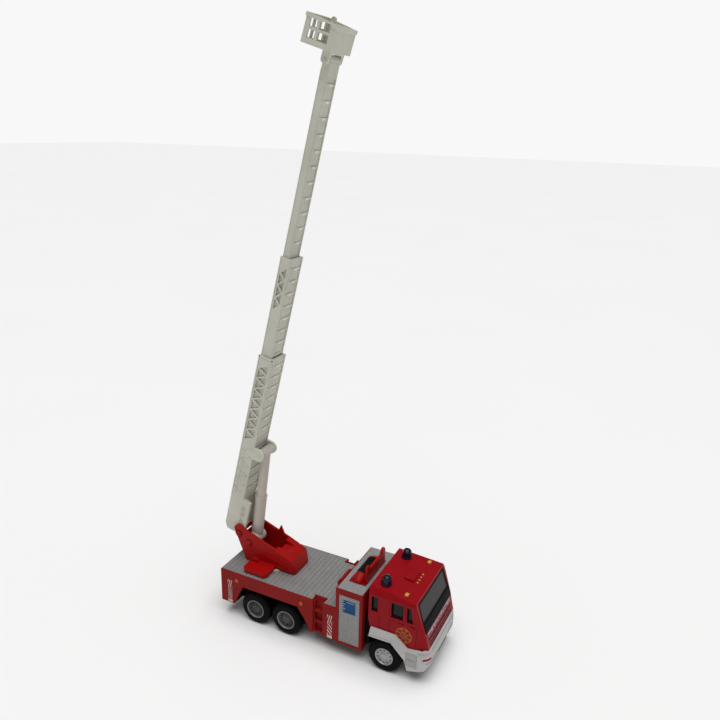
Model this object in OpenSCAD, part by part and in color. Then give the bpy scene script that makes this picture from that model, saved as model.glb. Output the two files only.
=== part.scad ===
// Toy fire engine with a raised three-section ladder and a bucket.
// Millimetres. +X is forward, +Y is the engine's left, +Z is up, and Z = 0 is the floor.
// X = 0 is halfway along the body. The ladder is drawn raised, as the toy is displayed.

/* [Body] */
// Length of the body, rear face to front bumper
body_l = 150; // [125:1:190]
// Width over the rear body and the bumper
body_w = 50.4; // [40:0.2:62]
// Height of the rear deck above the floor
deck_z = 34.2; // [30:0.2:42]
// Height of the rear body's lower edge
body_z = 9.8; // [8.5:0.1:12]
// Thickness of the rear body's walls
body_wall = 1.8; // [1.4:0.1:2.4]
// Length of the tall locker box behind the cab
locker_l = 18.4; // [14:0.2:24]
// Height of the locker box above the deck
locker_rise = 14.9; // [10:0.1:18]
// Width of the recess that holds the side steps
recess_l = 7.2; // [5:0.1:9]
// Depth of the recess that holds the side steps
recess_d = 4.2; // [2:0.1:6]

/* [Cab] */
// Length of the cab, rear wall to front bumper
cab_l = 40.4; // [34:0.2:50]
// Height of the cab roof at its rear edge
roof_z = 57.2; // [50:0.2:68]
// Thickness of the cab's walls
cab_wall = 1.6; // [1.2:0.1:2.4]
// Gap between the locker box and the cab
cab_gap = 3.6; // [2:0.1:6]

/* [Running gear] */
// Radius of the tyres
tyre_r = 11; // [9:0.1:13.2]
// Width of each tyre
tyre_w = 8.4; // [6:0.1:10]
// Diameter of the axles
axle_d = 2.4; // [1.8:0.1:3]
// Running clearance around an axle or a hinge pin
run_fit = 0.06; // [0.03:0.01:0.09]
// Distance from the rear face to the rear axle
rear_axle_in = 27; // [22:0.5:34]
// Distance between the two rear axles
tandem_pitch = 23.7; // [22.6:0.1:28]
// Distance from the front bumper to the front axle
front_axle_in = 28.6; // [24:0.2:34]

/* [Ladder] */
// Lean of the raised ladder away from upright, in degrees
lean = 13.7; // [0:0.1:30]
// Width over the lowest ladder section
ladder_w = 15; // [12:0.1:18]
// Length of the lowest section above its hinge
section1_l = 131.3; // [110:0.5:150]
// How far the middle section stands out of the lowest one
reach2 = 64.2; // [40:0.5:75]
// How far the top section stands out of the middle one
reach3 = 108.4; // [70:0.5:125]
// Side clearance between sliding sections
slide_gap = 0.35; // [0.25:0.05:0.5]
// Thickness of the ladder's side walls
rail_t = 0.8; // [0.6:0.05:1.1]
// Diameter of the ladder's hinge pin
pin_d = 2.4; // [1.8:0.1:3]
// Diameter of the ram's tubes
ram_d = 7.2; // [5:0.1:8]

/* [Turntable] */
// Radius of the ring that the turntable turns on
ring_r = 14.5; // [11:0.5:18]
// Thickness of the turntable's side plates
plate_t = 1.5; // [1.2:0.1:2.2]
// Height of the ladder's hinge pin above the deck
hinge_rise = 19.8; // [16:0.2:26]

/* [Bucket] */
// Width of the bucket
bucket_w = 22.4; // [18:0.2:27]
// Depth of the bucket, front to back
bucket_d = 18; // [14:0.2:22]
// Height of the bucket
bucket_h = 13.8; // [10:0.2:18]
// Thickness of the bucket's walls
bucket_t = 1.1; // [0.8:0.1:1.6]

/* [Output] */
// Node to write, or all of them

/* [Hidden] */

RED = [0.75, 0.05, 0.08];
BLACK = [0.08, 0.08, 0.09];
SILVER = [0.62, 0.63, 0.64];
WHITE = [0.86, 0.86, 0.84];
CREAM = [0.76, 0.76, 0.70];
GLASS = [0.30, 0.32, 0.34];
STEEL = [0.70, 0.71, 0.73];
BLUE = [0.06, 0.09, 0.35];
AMBER = [0.90, 0.50, 0.10];

$fn = 48;
skin = 0.35;                      // thickness of the thin plates laid on the body
eps = 0.02;                       // overlap that makes cuts run clean through

// The raised ladder's foot overhangs the rear face, and X = 0 is midway over both
hinge_in = 4.2;                   // hinge pin ahead of the rear face
k1_top = -13;                     // back of the lowest section
foot_s = 1.5;                     // lowest corner of the ladder's foot
overhang = -(hinge_in + foot_s * sin(lean) + k1_top * cos(lean));
rear_x = -(body_l - overhang) / 2;
nose_x = rear_x + body_l;
half_w = body_w / 2;

// Rear body stations, front to back
cab_x = nose_x - cab_l;
locker_x1 = cab_x - cab_gap;
locker_x0 = locker_x1 - locker_l;
locker_z = deck_z + locker_rise;
recess_x1 = locker_x0 - 9.2;
recess_x0 = recess_x1 - recess_l;

// Axle stations
axle_z = tyre_r;
rear_axle_x = rear_x + rear_axle_in;
middle_axle_x = rear_axle_x + tandem_pitch;
front_axle_x = nose_x - front_axle_in;
tyre_out = half_w + 0.1;
tyre_in = tyre_out - tyre_w;
arch_z = tyre_r * 2 + 3.2;
bearing_w = tyre_in - 1.2;        // half width of the bearing blocks between the wheels

// Chassis plate, its bearing blocks and its two screw bosses
plate_z0 = 9.6;
plate_z1 = 12;
block_half = 3.4;                 // half length of a bearing block
boss_d = 7;
boss_h = 8;
screw_d = 2.5;
screw_depth = 6;
screw_rear_x = rear_x + 10.5;
screw_front_x = front_axle_x - 24;

// Locker box: shutters in its sides, hose roll and ladder rest on its top
shutter_d = 0.9;                  // depth of the recess for a shutter
reel_x = locker_x0 + 9.2;
reel_r = 4.6;
reel_half = 9.2;
reel_end_y = 15.5;                // outer end of the hose roll's caps
rest_x = locker_x1 - 3.6;
rest_t = 1.6;
rest_half = 13.5;
rest_z = locker_z + 12.1;         // top of the ladder rest's horns
notch_z = rest_z - 3;
bulge_r = 3.2;                    // half-round at the locker's rear top edge, on the right
bulge_z = locker_z - 2.4;
knob_r = 1.8;                     // smaller half-round beside it
rim_rise = 1.2;                   // lip of the step recess above the deck
rim_t = 0.8;

// Cab: the side view's corners
fender_z = 29;
band_z = 36;                      // foot of the windscreen
roof_front_x = nose_x - 10.2;
screen_foot_x = nose_x - 4;
nose_z = 24;
roof_drop = 2.7;                  // fall of the roof from its rear edge to its front edge
glass_gap = 0.05;
glass_t = 0.8;
trim_t = 4;                       // thickness of the bumper
bumper_r = 6.5;                   // corner radius of the bumper in plan
beacon_in = 7.6;
beacon_y = 15.9;
hatch_in = 14.9;

// Hubs
rear_hub_r = 6.6;
front_hub_r = 6;
hub_tube_r = 2.6;

// Ladder stations: s runs up the ladder from the hinge pin, k points out of its underside
hinge_x = rear_x + hinge_in;
hinge_z = deck_z + hinge_rise;
half1 = ladder_w / 2;
half2 = half1 - rail_t - slide_gap;
half3 = half2 - rail_t - slide_gap;
k1_under = -2.7;
floor_t = 0.9;
rung_h = 0.6;                     // depth that the floor is set in, which the rungs fill
rung_w = 1.5;
lip_t = 0.4;                      // lip that keeps the next section in
lip_gap = 0.3;
k2_top = k1_top + lip_t + lip_gap;
k2_under = k1_under - floor_t - rung_h - slide_gap;
k3_top = k2_top + lip_t + lip_gap;
k3_under = k2_under - floor_t - rung_h - lip_gap - slide_gap;
s1_end = section1_l;
s2_end = s1_end + reach2;
s3_end = s2_end + reach3;
s2_start = s1_end - 62.8;         // the middle section's lower end, inside the lowest one
s3_start = s2_end - 34.8;         // the top section's lower end, inside the middle one
base_s = 26;                      // top of the lowest section's solid foot
pocket_s = 8;                     // floor of the pocket that the sections slide down into

// Turntable
table_x = rear_x + 25.5;
plate_in = half1 + 0.5;
plate_out = plate_in + plate_t;
table_z = deck_z + 1;
spigot_r = 5;
ear_r = 4;
ear_z = hinge_z + 2.6;
hollow_z = table_z + 3;           // floor of the hollow between the plates
hollow_r = 9;
web_z = hinge_z - 3.6;            // top of the web that joins the plates at the back
web_t = 1.7;
nose_in = 28.8;                   // start of the solid nose ahead of the hinge
groove_z = hinge_z - 7.4;         // floor of the ram's groove in the nose
groove_half = 4.6;
nose_cut = 2.2;
pad_out = 22;
pad_h = 2.8;
pad_cut = 1.8;

// Ram: its lower pin is in the turntable's plates, its upper pin in the ladder's lugs
ram_foot_x = hinge_x + 8.3;
ram_foot_z = hinge_z - 4.8;
lug_s = 63.8;
lug_k = 2;
ram_top_x = hinge_x + lug_s * sin(lean) + lug_k * cos(lean);
ram_top_z = hinge_z + lug_s * cos(lean) - lug_k * sin(lean);
ram_dx = ram_top_x - ram_foot_x;
ram_dz = ram_top_z - ram_foot_z;
ram_len = sqrt(ram_dx * ram_dx + ram_dz * ram_dz);
ram_lean = atan2(ram_dx, ram_dz);
foot_r = 4.5;
foot_half = 4.8;
barrel_end = 33.4;                // length of the ram's barrel above its foot
barrel_d = ram_d + 0.6;
rod_d = ram_d - 0.8;
rod_start = barrel_end - 8;
ram_travel = 13.6;                // depth that the rod slides in as the ladder comes down
eye_half = 6;
eye_bore = 2.2;                   // the upper eye is bored wide, so the ladder's pin can wander in it
top_pin_d = 1.2;
lug_r = 4.2;
lug_y0 = 6.4;
lug_y1 = 8.2;

// Bucket hinge
knuckle_s = s3_end - 0.2;
knuckle_k = (k3_top + k3_under) / 2;
knuckle_rise = 4;                 // bucket floor above its hinge
knuckle_half = 7.8;
bucket_tilt = 4;
bucket_pin_d = 2;
bucket_k1 = 3.8;
bucket_k0 = bucket_k1 - bucket_d;
bucket_top = knuckle_rise + bucket_h + 0.7;
cheek_r = 2.3;
rim_h = 2;
rim_out = 0.4;
rim_drop = 1.6;                   // the rim falls towards the front
window = 4;                       // height of the windows
window_z = knuckle_rise + 2.9;
window_gap = 1.4;
window_side = [[2.7, 4.3], [8.7, 6.4]];
window_rear = 4.8;

// A profile drawn in X and Z, given thickness across Y between two values
module across(y0, y1) {
    translate([0, y1, 0])
        rotate([90, 0, 0])
            linear_extrude(height = y1 - y0)
                children();
}

module both_sides() {
    children();
    mirror([0, 1, 0])
        children();
}

module on_ladder() {
    translate([hinge_x, 0, hinge_z])
        rotate([0, lean, 0])
            children();
}

module on_ram() {
    translate([ram_foot_x, 0, ram_foot_z])
        rotate([0, ram_lean, 0])
            children();
}

// A profile drawn in Y and Z, given thickness along X between two values
module facing(x0, x1) {
    translate([x0, 0, 0])
        rotate([90, 0, 90])
            linear_extrude(height = x1 - x0)
                children();
}

module rod_y(r, y0, y1) {
    translate([0, y1, 0])
        rotate([90, 0, 0])
            cylinder(r = r, h = y1 - y0);
}

module box(x0, x1, y0, y1, z0, z1) {
    translate([x0, y0, z0])
        cube([x1 - x0, y1 - y0, z1 - z0]);
}

// ---------------------------------------------------------------- root body

module axle_bore(x) {
    translate([x, 0, axle_z])
        rod_y(axle_d / 2 + run_fit, -half_w, half_w);
}

module bearing_block(x) {
    box(x - block_half, x + block_half, -bearing_w, bearing_w, axle_z - 3.2, plate_z1);
    box(x - block_half, x + block_half, -bearing_w, bearing_w, plate_z1 - eps, axle_z + block_half);
}

module chassis() {
    color(BLACK)
        difference() {
            union() {
                box(rear_x + body_wall, nose_x - trim_t, -bearing_w, bearing_w, plate_z0, plate_z1);
                box(rear_x + body_wall, rear_x + 7, -half_w + body_wall, half_w - body_wall,
                    plate_z0, plate_z1);
                box(recess_x0 - 5, locker_x1 - body_wall, -half_w + recess_d + body_wall + 1,
                    half_w - recess_d - body_wall - 1, plate_z0, plate_z1);
                box(locker_x1, cab_x - 0.3, -half_w + 4, half_w - 4, body_z + 3, deck_z - 2);
                box(locker_x1 - 3, cab_x + 3, -bearing_w, bearing_w, plate_z0, body_z + 3);
                bearing_block(rear_axle_x);
                bearing_block(middle_axle_x);
                bearing_block(front_axle_x);
                for (x = [screw_rear_x, screw_front_x])
                    translate([x, 0, plate_z0])
                        cylinder(d = boss_d, h = boss_h);
            }
            axle_bore(rear_axle_x);
            axle_bore(middle_axle_x);
            axle_bore(front_axle_x);
            for (x = [screw_rear_x, screw_front_x])
                translate([x, 0, plate_z0 - eps])
                    cylinder(d = screw_d, h = screw_depth);
        }
}

// Side view of the twin wheel arch
module tandem_arch() {
    polygon([
        [rear_axle_x - 16.7, body_z - 1], [rear_axle_x - 16.7, body_z + 0.4],
        [rear_axle_x - 9.8, arch_z], [middle_axle_x + 9, arch_z],
        [middle_axle_x + 17.4, 13.4], [middle_axle_x + 17.4, body_z - 1]
    ]);
}

// Plan of the rear body, with the step recesses cut in both sides
module rear_plan(inset) {
    difference() {
        translate([rear_x + inset, -half_w + inset])
            square([locker_x1 - rear_x - 2 * inset, body_w - 2 * inset]);
        for (side = [-1, 1])
            translate([recess_x0 - inset, side * (half_w - recess_d / 2 + 1) - recess_d / 2 - 1 - inset])
                square([recess_l + 2 * inset, recess_d + 2 + 2 * inset]);
    }
}

module rear_body() {
    color(RED) {
        difference() {
            union() {
                translate([0, 0, body_z])
                    linear_extrude(height = deck_z - body_z)
                        rear_plan(0);
                box(locker_x0, locker_x1, -half_w, half_w, body_z - 0.9, locker_z);
            }
            translate([0, 0, body_z - 2])
                linear_extrude(height = deck_z - body_z + 2 - body_wall)
                    rear_plan(body_wall);
            box(locker_x0 + body_wall, locker_x1 - body_wall, -half_w + body_wall, half_w - body_wall,
                body_z - 2, locker_z - body_wall);
            across(-half_w - 1, half_w + 1)
                tandem_arch();
            both_sides()
                box(locker_x0 + 2, locker_x1 - 2, half_w - shutter_d, half_w + 1,
                    body_z + 0.7, locker_z - 3.7);
            spigot_hole();
            box(locker_x1 - body_wall - 1, locker_x1 + 1, -bearing_w - 0.1, bearing_w + 0.1, 0, body_z + 3);
        }
        both_sides()
            difference() {
                box(recess_x0 - eps, recess_x1 + eps, half_w - recess_d - eps, half_w - 1.6,
                    body_z, deck_z - 1.2);
                for (i = [0 : 2])
                    box(recess_x0 + 0.9, recess_x1 - 0.9, half_w - recess_d + 0.4, half_w,
                        body_z + 1.2 + i * 7.9, body_z + 7.6 + i * 7.9);
            }
        both_sides()
            box(recess_x0 - rim_t, recess_x1 + rim_t, half_w - recess_d - rim_t, half_w - recess_d,
                deck_z - eps, deck_z + rim_rise);
        translate([locker_x0, 0, bulge_z])
            difference() {
                union() {
                    rod_y(bulge_r, -17, -4);
                    translate([0, 0, bulge_r - knob_r])
                        rod_y(knob_r, 3.5, 6.5);
                }
                box(eps, bulge_r + 1, -half_w, half_w, -bulge_r - 1, bulge_r + 1);
            }
        screw_pillar(screw_rear_x, deck_z);
        screw_pillar(screw_front_x, locker_z);
    }
}

// Pillar that stands on a screw boss and holds the body's top
module screw_pillar(x, top) {
    translate([x, 0, plate_z0 + boss_h])
        cylinder(d = boss_d - 1, h = top - body_wall - plate_z0 - boss_h + eps);
}

module deck_plate() {
    color(SILVER)
        difference() {
            translate([0, 0, deck_z])
                linear_extrude(height = skin)
                    intersection() {
                        rear_plan(0.8);
                        translate([rear_x, -half_w])
                            square([locker_x0 - rear_x, body_w]);
                    }
            spigot_hole();
        }
}

module spigot_hole() {
    translate([table_x, 0, deck_z - body_wall - 1])
        cylinder(r = spigot_r + run_fit, h = body_wall + 3);
}

module locker_shutters() {
    color(SILVER)
        both_sides()
            box(locker_x0 + 2.2, locker_x1 - 2.2, half_w - shutter_d, half_w - 0.3,
                body_z + 0.9, locker_z - 3.9);
}

module locker_top() {
    color(SILVER)
        difference() {
            box(locker_x0 + 0.8, locker_x1 - 0.6, -half_w + 0.8, half_w - 0.8, locker_z, locker_z + skin);
            box(reel_x - reel_r - 0.8, rest_x + rest_t / 2 + 0.1, -reel_end_y - 0.1, reel_end_y + 0.1,
                locker_z - 1, locker_z + 1);
        }
}

module hose_roll() {
    color(BLACK)
        difference() {
            translate([reel_x, 0, locker_z])
                union() {
                    rod_y(reel_r - 0.35, -reel_half, reel_half);
                    for (i = [-4 : 4])
                        rod_y(reel_r, i * reel_half / 4.5 - 0.6, i * reel_half / 4.5 + 0.6);
                }
            box(reel_x - 9, reel_x + 9, -half_w, half_w, locker_z - 9, locker_z);
        }
}

// Domed cap at one end of the hose roll
module reel_end() {
    difference() {
        translate([reel_x, 0, locker_z])
            rotate([-90, 0, 0])
                rotate_extrude()
                    polygon([
                        [0, reel_half], [reel_r + 0.3, reel_half], [reel_r + 0.1, reel_half + 1.2],
                        [reel_r - 0.9, reel_half + 3.6], [reel_r - 2.2, reel_end_y - 0.8],
                        [reel_r - 3.2, reel_end_y], [0, reel_end_y]
                    ]);
        box(reel_x - 9, reel_x + 9, 0, half_w, locker_z - 9, locker_z);
    }
}

module ladder_rest() {
    color(RED) {
        facing(rest_x - rest_t / 2, rest_x + rest_t / 2)
            polygon([
                [-rest_half, locker_z], [-rest_half, rest_z - 1.8], [-12.4, rest_z], [-10.2, rest_z],
                [-8.2, notch_z], [8.2, notch_z], [10.2, rest_z], [12.4, rest_z],
                [rest_half, rest_z - 1.8], [rest_half, locker_z]
            ]);
        both_sides()
            reel_end();
    }
}

// ---------------------------------------------------------------- cab

// Side view of the cab
module cab_side() {
    polygon([
        [cab_x + 1.6, fender_z - 1.6], [cab_x - 0.2, 34.3], [cab_x, roof_z],
        [roof_front_x, roof_z - roof_drop], [screen_foot_x, band_z], [nose_x - 1, nose_z],
        [front_axle_x + 14.8, 22.3], [front_axle_x + 6.5, fender_z]
    ]);
}

// Front view of the cab: upright sides, then the leaning roof edge
module cab_front(inset) {
    w = half_w - 1.4 - inset;
    r = half_w - 3.4 - inset;
    facing(-body_l, body_l)
        polygon([
            [-w, 0], [w, 0], [w, roof_z - 4.4], [r, roof_z - inset * 1.2], [-r, roof_z - inset * 1.2],
            [-w, roof_z - 4.4]
        ]);
}

// Plan of the cab: the sides draw in towards the nose
module cab_plan(inset) {
    w = half_w - 1.4 - inset;
    n = half_w - 3.3 - inset;
    linear_extrude(height = roof_z * 2)
        polygon([
            [cab_x - 2, -w], [nose_x - 8.5, -w], [nose_x - 1, -n], [nose_x + 2, -n], [nose_x + 2, n],
            [nose_x - 1, n], [nose_x - 8.5, w], [cab_x - 2, w]
        ]);
}

module cab_block(inset) {
    intersection() {
        across(-half_w, half_w)
            offset(delta = -inset)
                cab_side();
        cab_front(inset);
        cab_plan(inset);
    }
}

// The roof slopes down forward: X runs along it from the cab's rear edge, Z stands off it
module on_roof() {
    translate([cab_x, 0, roof_z])
        rotate([0, atan2(roof_drop, roof_front_x - cab_x), 0])
            children();
}

module side_windows() {
    across(-half_w - 1, half_w + 1) {
        polygon([[cab_x + 1.8, 40.6], [cab_x + 1.8, 50.8], [cab_x + 6, 50.8], [cab_x + 6, 40.6]]);
        polygon([[cab_x + 14.8, 40.4], [cab_x + 14.8, 50.8], [cab_x + 22.6, 50.8], [cab_x + 22.6, 40.4]]);
        polygon([[cab_x + 25, 40.4], [cab_x + 25, 50.8], [cab_x + 27.6, 50.2], [cab_x + 29.2, 40.4]]);
    }
}

module windscreen_cut() {
    box(roof_front_x - 1.2, nose_x, -half_w + 4.6, half_w - 4.6, band_z + 1.2, roof_z - roof_drop - 2.4);
}

module cab_shell() {
    color(RED) {
        difference() {
            cab_block(0);
            cab_block(cab_wall);
            side_windows();
            windscreen_cut();
            box(cab_x + 3, nose_x - 3, -half_w + 3.4, half_w - 3.4, 20, fender_z + 3);
        }
        on_roof()
            box(hatch_in, hatch_in + 6.4, -5, 5.4, -0.6, 0.9);
    }
}

module cab_glazing() {
    color(GLASS)
        difference() {
            intersection() {
                cab_block(cab_wall + glass_gap);
                box(cab_x, nose_x, -half_w, half_w, band_z + 0.4, roof_z - 3.4);
            }
            intersection() {
                cab_block(cab_wall + glass_gap + glass_t);
                box(cab_x, nose_x, -half_w, half_w, band_z - 2, roof_z);
            }
            box(cab_x - 1, cab_x + cab_wall + 0.6, -half_w, half_w, 0, roof_z);
        }
}

module front_black() {
    color(BLACK)
        difference() {
            intersection() {
                across(-half_w + 3.8, half_w - 3.8)
                    translate([0.5, 0])
                        cab_side();
                box(roof_front_x + 0.2, nose_x, -half_w, half_w, band_z - 1.4, band_z + 4.6);
            }
            across(-half_w, half_w)
                cab_side();
        }
}

// Side view of the white front: fender arch, side steps and bumper
module trim_side() {
    polygon([
        [cab_x + 0.9, 22.4], [cab_x + 2.2, fender_z + 0.2], [front_axle_x + 6.7, fender_z + 0.2],
        [front_axle_x + 14.8, 22.5], [nose_x - 1, nose_z + 0.2], [nose_x, nose_z - 2.4],
        [nose_x, body_z + 3.4], [nose_x - 2.6, body_z + 0.2], [front_axle_x + 15.2, body_z - 2.8],
        [front_axle_x + 13.2, 13.8], [front_axle_x + 4, 22.8]
    ]);
}

// Plan of the white front, round at the bumper's corners
module nose_plan() {
    linear_extrude(height = roof_z)
        polygon(concat(
            [[cab_x - 1, -half_w]],
            [for (a = [-90 : 18 : 0]) [nose_x - bumper_r + bumper_r * cos(a),
                -half_w + bumper_r + bumper_r * sin(a)]],
            [for (a = [0 : 18 : 90]) [nose_x - bumper_r + bumper_r * cos(a),
                half_w - bumper_r + bumper_r * sin(a)]],
            [[cab_x - 1, half_w]]
        ));
}

module front_trim() {
    color(WHITE)
        difference() {
            intersection() {
                nose_plan();
                across(-half_w, half_w)
                    trim_side();
            }
            box(cab_x - 1, nose_x - trim_t, -half_w + 1.6, half_w - 1.6, 0, roof_z);
            cab_block(0);
        }
}

module beacons() {
    color(BLUE)
        on_roof()
            both_sides()
                translate([beacon_in, beacon_y, 0])
                    rotate_extrude()
                        polygon([
                            [0, 0], [3.4, 0], [3.4, 0.9], [3.05, 1.3], [2.9, 3.8], [2.55, 4.9],
                            [1.9, 5.6], [1, 5.95], [0, 6.05]
                        ]);
}

module roof_lamps() {
    color(AMBER) {
        on_roof()
            both_sides()
                box(21.4, 23.5, 17.2, 20.1, 0, 0.8);
        on_roof()
            for (i = [-1.5 : 1 : 1.5])
                translate([23.6, i * 3.1, 0])
                    cylinder(r = 0.6, h = 0.5);
    }
}

module side_lamps() {
    color(AMBER)
        both_sides()
            for (x = [rear_x + 13, rear_x + 62.8])
                translate([x, half_w, 29])
                    rotate([-90, 0, 0])
                        cylinder(r = 1.4, h = 0.6);
}

// ---------------------------------------------------------------- wheels

module axle_at(x) {
    color(STEEL)
        translate([x, 0, axle_z])
            rod_y(axle_d / 2, -tyre_out + 2.6, tyre_out - 2.6);
}

module tyres_at(x, hub_r) {
    color(BLACK)
        both_sides()
            translate([x, 0, axle_z])
                rotate([-90, 0, 0])
                    rotate_extrude()
                        polygon([
                            [hub_r, tyre_in], [tyre_r - 1.4, tyre_in], [tyre_r, tyre_in + 1.6],
                            [tyre_r, tyre_out - 1.6], [tyre_r - 1.4, tyre_out - 0.3], [hub_r + 0.6, tyre_out],
                            [hub_r, tyre_out - 0.6]
                        ]);
}

module hubs_at(x, hub_r, dish) {
    color(SILVER)
        both_sides()
            translate([x, 0, axle_z])
                rotate([-90, 0, 0])
                    rotate_extrude()
                        polygon([
                            [0, tyre_out - 2.6], [axle_d / 2, tyre_out - 2.6], [axle_d / 2, tyre_in + 0.4],
                            [hub_tube_r, tyre_in + 0.4], [hub_tube_r, tyre_out - 4.6],
                            [hub_r - 1.2, tyre_out - 4.6], [hub_r - 1.2, tyre_in + 0.4],
                            [hub_r, tyre_in + 0.4], [hub_r, tyre_out - 0.8],
                            [hub_r - 0.9, tyre_out - 0.8], [hub_r - 1.3, tyre_out - dish],
                            [2.2, tyre_out - dish], [1.8, tyre_out - 0.9], [0, tyre_out - 0.7]
                        ]);
}

// ---------------------------------------------------------------- turntable

module turntable_ring() {
    color(CREAM)
        translate([table_x, 0, 0]) {
            translate([0, 0, deck_z + skin + 0.15])
                cylinder(r = ring_r, h = table_z - deck_z - skin - 0.15);
            translate([0, 0, deck_z - body_wall - 1.2])
                cylinder(r = spigot_r, h = body_wall + 2);
            translate([0, 0, deck_z - body_wall - 1.5])
                cylinder(r = spigot_r + 0.9, h = 1.2);
        }
}

// Rear edge of the side plates at a height
function back_edge(z) = hinge_x + 5.5 - 9.2 * (z - table_z) / (hinge_z + 3.3 - table_z);

// Side plate: tall ear at the back that carries the hinge, falling forward to the nose
module plate_side() {
    polygon(concat(
        [[back_edge(table_z), table_z]],
        [for (a = [170 : -20 : 30]) [hinge_x + 0.2 + ear_r * cos(a), ear_z + ear_r * sin(a)]],
        [
            [hinge_x + 12.2, hinge_z + 1.6], [hinge_x + 29.7, hinge_z - 4.6],
            [hinge_x + 41.8, hinge_z - 9.6], [hinge_x + 44.3, hinge_z - 16], [hinge_x + 44.3, table_z]
        ]
    ));
}

// Hollow between the plates, where the ladder's foot and the ram's foot turn
module between_plates() {
    polygon(concat(
        [
            [rear_x - 5, web_z], [back_edge(web_z) + web_t, web_z],
            [back_edge(hollow_z) + web_t, hollow_z], [hinge_x + 20, hollow_z]
        ],
        [for (a = [-80 : 20 : -20]) [hinge_x + 19.8 + hollow_r * cos(a), table_z + 12 + hollow_r * sin(a)]],
        [[hinge_x + nose_in, groove_z], [hinge_x + nose_in, roof_z + 30], [rear_x - 5, roof_z + 30]]
    ));
}

module foot_pad() {
    x0 = table_x - 10.3;
    x1 = table_x + 8;
    translate([0, 0, table_z])
        linear_extrude(height = pad_h)
            polygon([
                [x0, plate_out - 0.2], [x1, plate_out - 0.2], [x1, pad_out - pad_cut],
                [x1 - pad_cut, pad_out], [x0 + pad_cut, pad_out], [x0, pad_out - pad_cut]
            ]);
}

module turntable() {
    color(RED)
        difference() {
            union() {
                across(-plate_out, plate_out)
                    plate_side();
                both_sides()
                    foot_pad();
                across(plate_in, plate_out)
                    polygon([
                        [hinge_x + 20, hinge_z - 3], [hinge_x + 22.4, hinge_z + 2.8],
                        [hinge_x + 25, hinge_z - 3]
                    ]);
            }
            across(-plate_in, plate_in)
                between_plates();
            box(hinge_x + nose_in - 1, hinge_x + 44, -groove_half, groove_half, groove_z, hinge_z);
            both_sides()
                translate([hinge_x + 44.3, plate_out, table_z - 1])
                    rotate([0, 0, 45])
                        box(-nose_cut / 2, nose_cut / 2, -nose_cut / 2, nose_cut / 2, 0, 30);
            for (pin = [[hinge_x, hinge_z], [ram_foot_x, ram_foot_z]])
                translate([pin[0], 0, pin[1]])
                    rod_y(pin_d / 2, -half_w, half_w);
        }
}

module hinge_pins() {
    color(RED)
        for (pin = [[hinge_x, hinge_z], [ram_foot_x, ram_foot_z]])
            translate([pin[0], 0, pin[1]])
                rod_y(pin_d / 2, -plate_out - 0.3, plate_out + 0.3);
}

// ---------------------------------------------------------------- ladder

// A U-shaped ladder section in its own frame: Z up the ladder, X out of the underside
module section(half, k_top, k_under, s0, s1, pitch, lip) {
    difference() {
        box(k_top, k_under, -half, half, s0, s1);
        box(k_top - 1, k_under - floor_t - rung_h, -half + rail_t, half - rail_t, s0 - 1, s1 + 1);
        box(k_under - rung_h, k_under + 1, -half + rail_t, half - rail_t, s0 - 1, s1 + 1);
    }
    both_sides()
        box(k_top, k_top + lip_t, half - lip - eps, half - eps, s0, s1);
    for (s = [s1 - pitch + 1.5 : -pitch : s0 + 2])
        box(k_under - rung_h - eps, k_under - 0.1, -half + rail_t - eps, half - rail_t + eps,
            s - rung_w / 2, s + rung_w / 2);
}

module lattice(half, k_top, k_under, s0, s1, pitch) {
    k0 = k_top + 1.6;
    k1 = k_under - 2.2;
    for (s = [s0 : pitch : s1 - pitch])
        rotate([90, 0, 0])
            linear_extrude(height = half * 2 + 2, center = true) {
                polygon([[k0, s + 0.5], [k1 - 0.8, s + pitch / 2 - 0.3], [k0, s + pitch - 1.1]]);
                translate([0, pitch / 2])
                    polygon([[k1, s + 0.5], [k0 + 0.8, s + pitch / 2 - 0.3], [k1, s + pitch - 1.1]]);
            }
}

module ladder_lower() {
    color(CREAM)
        on_ladder()
            difference() {
                union() {
                    difference() {
                        section(half1, k1_top, k1_under, base_s - 2, s1_end, 7.6, 0.9);
                        lattice(half1, k1_top, k1_under, 70, s1_end - 3, 7.6);
                    }
                    difference() {
                        rotate([90, 0, 0])
                            linear_extrude(height = half1 * 2, center = true)
                                polygon([
                                    [k1_top, foot_s], [k1_top + 2, -2.4], [2, -2.4], [2.8, -0.8],
                                    [2.8, base_s - 1.4], [k1_under, base_s], [k1_top, base_s]
                                ]);
                        box(k1_under, 5, -5.2, 5.2, -5, base_s + 1);
                        box(k1_top - 1, k1_under - floor_t - rung_h, -half1 + rail_t, half1 - rail_t,
                            pocket_s, base_s + 1);
                    }
                    both_sides()
                        translate([0, 0, lug_s]) {
                            translate([lug_k - 1, 0, -0.5])
                                rod_y(lug_r, lug_y0, lug_y1);
                            box(k1_under - rung_h, lug_k - 1, lug_y0, lug_y1, -0.5 - lug_r, lug_r - 0.5);
                        }
                }
                rod_y(pin_d / 2 + run_fit, -half_w, half_w);
                translate([lug_k, 0, lug_s])
                    rod_y(top_pin_d / 2, -half_w, half_w);
            }
}

module ram_top_pin() {
    color(CREAM)
        on_ladder()
            translate([lug_k, 0, lug_s])
                rod_y(top_pin_d / 2, -8, 8);
}

module ladder_middle() {
    color(CREAM)
        on_ladder()
            difference() {
                section(half2, k2_top, k2_under, s2_start, s2_end, 8, 0.9);
                lattice(half2, k2_top, k2_under, s1_end + 31, s2_end - 3, 8);
            }
}

module ladder_top() {
    color(CREAM)
        on_ladder()
            difference() {
                union() {
                    section(half3, k3_top, k3_under, s3_start, s3_end - 5, 8.75, 0.9);
                    translate([knuckle_k, 0, knuckle_s])
                        rod_y(2.5, -half3, half3);
                    box(k3_top + 0.2, k3_under, -half3, half3, s3_end - 9, s3_end - 1.2);
                }
                translate([knuckle_k, 0, knuckle_s])
                    rod_y(bucket_pin_d / 2 + run_fit, -half_w, half_w);
            }
}

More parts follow.
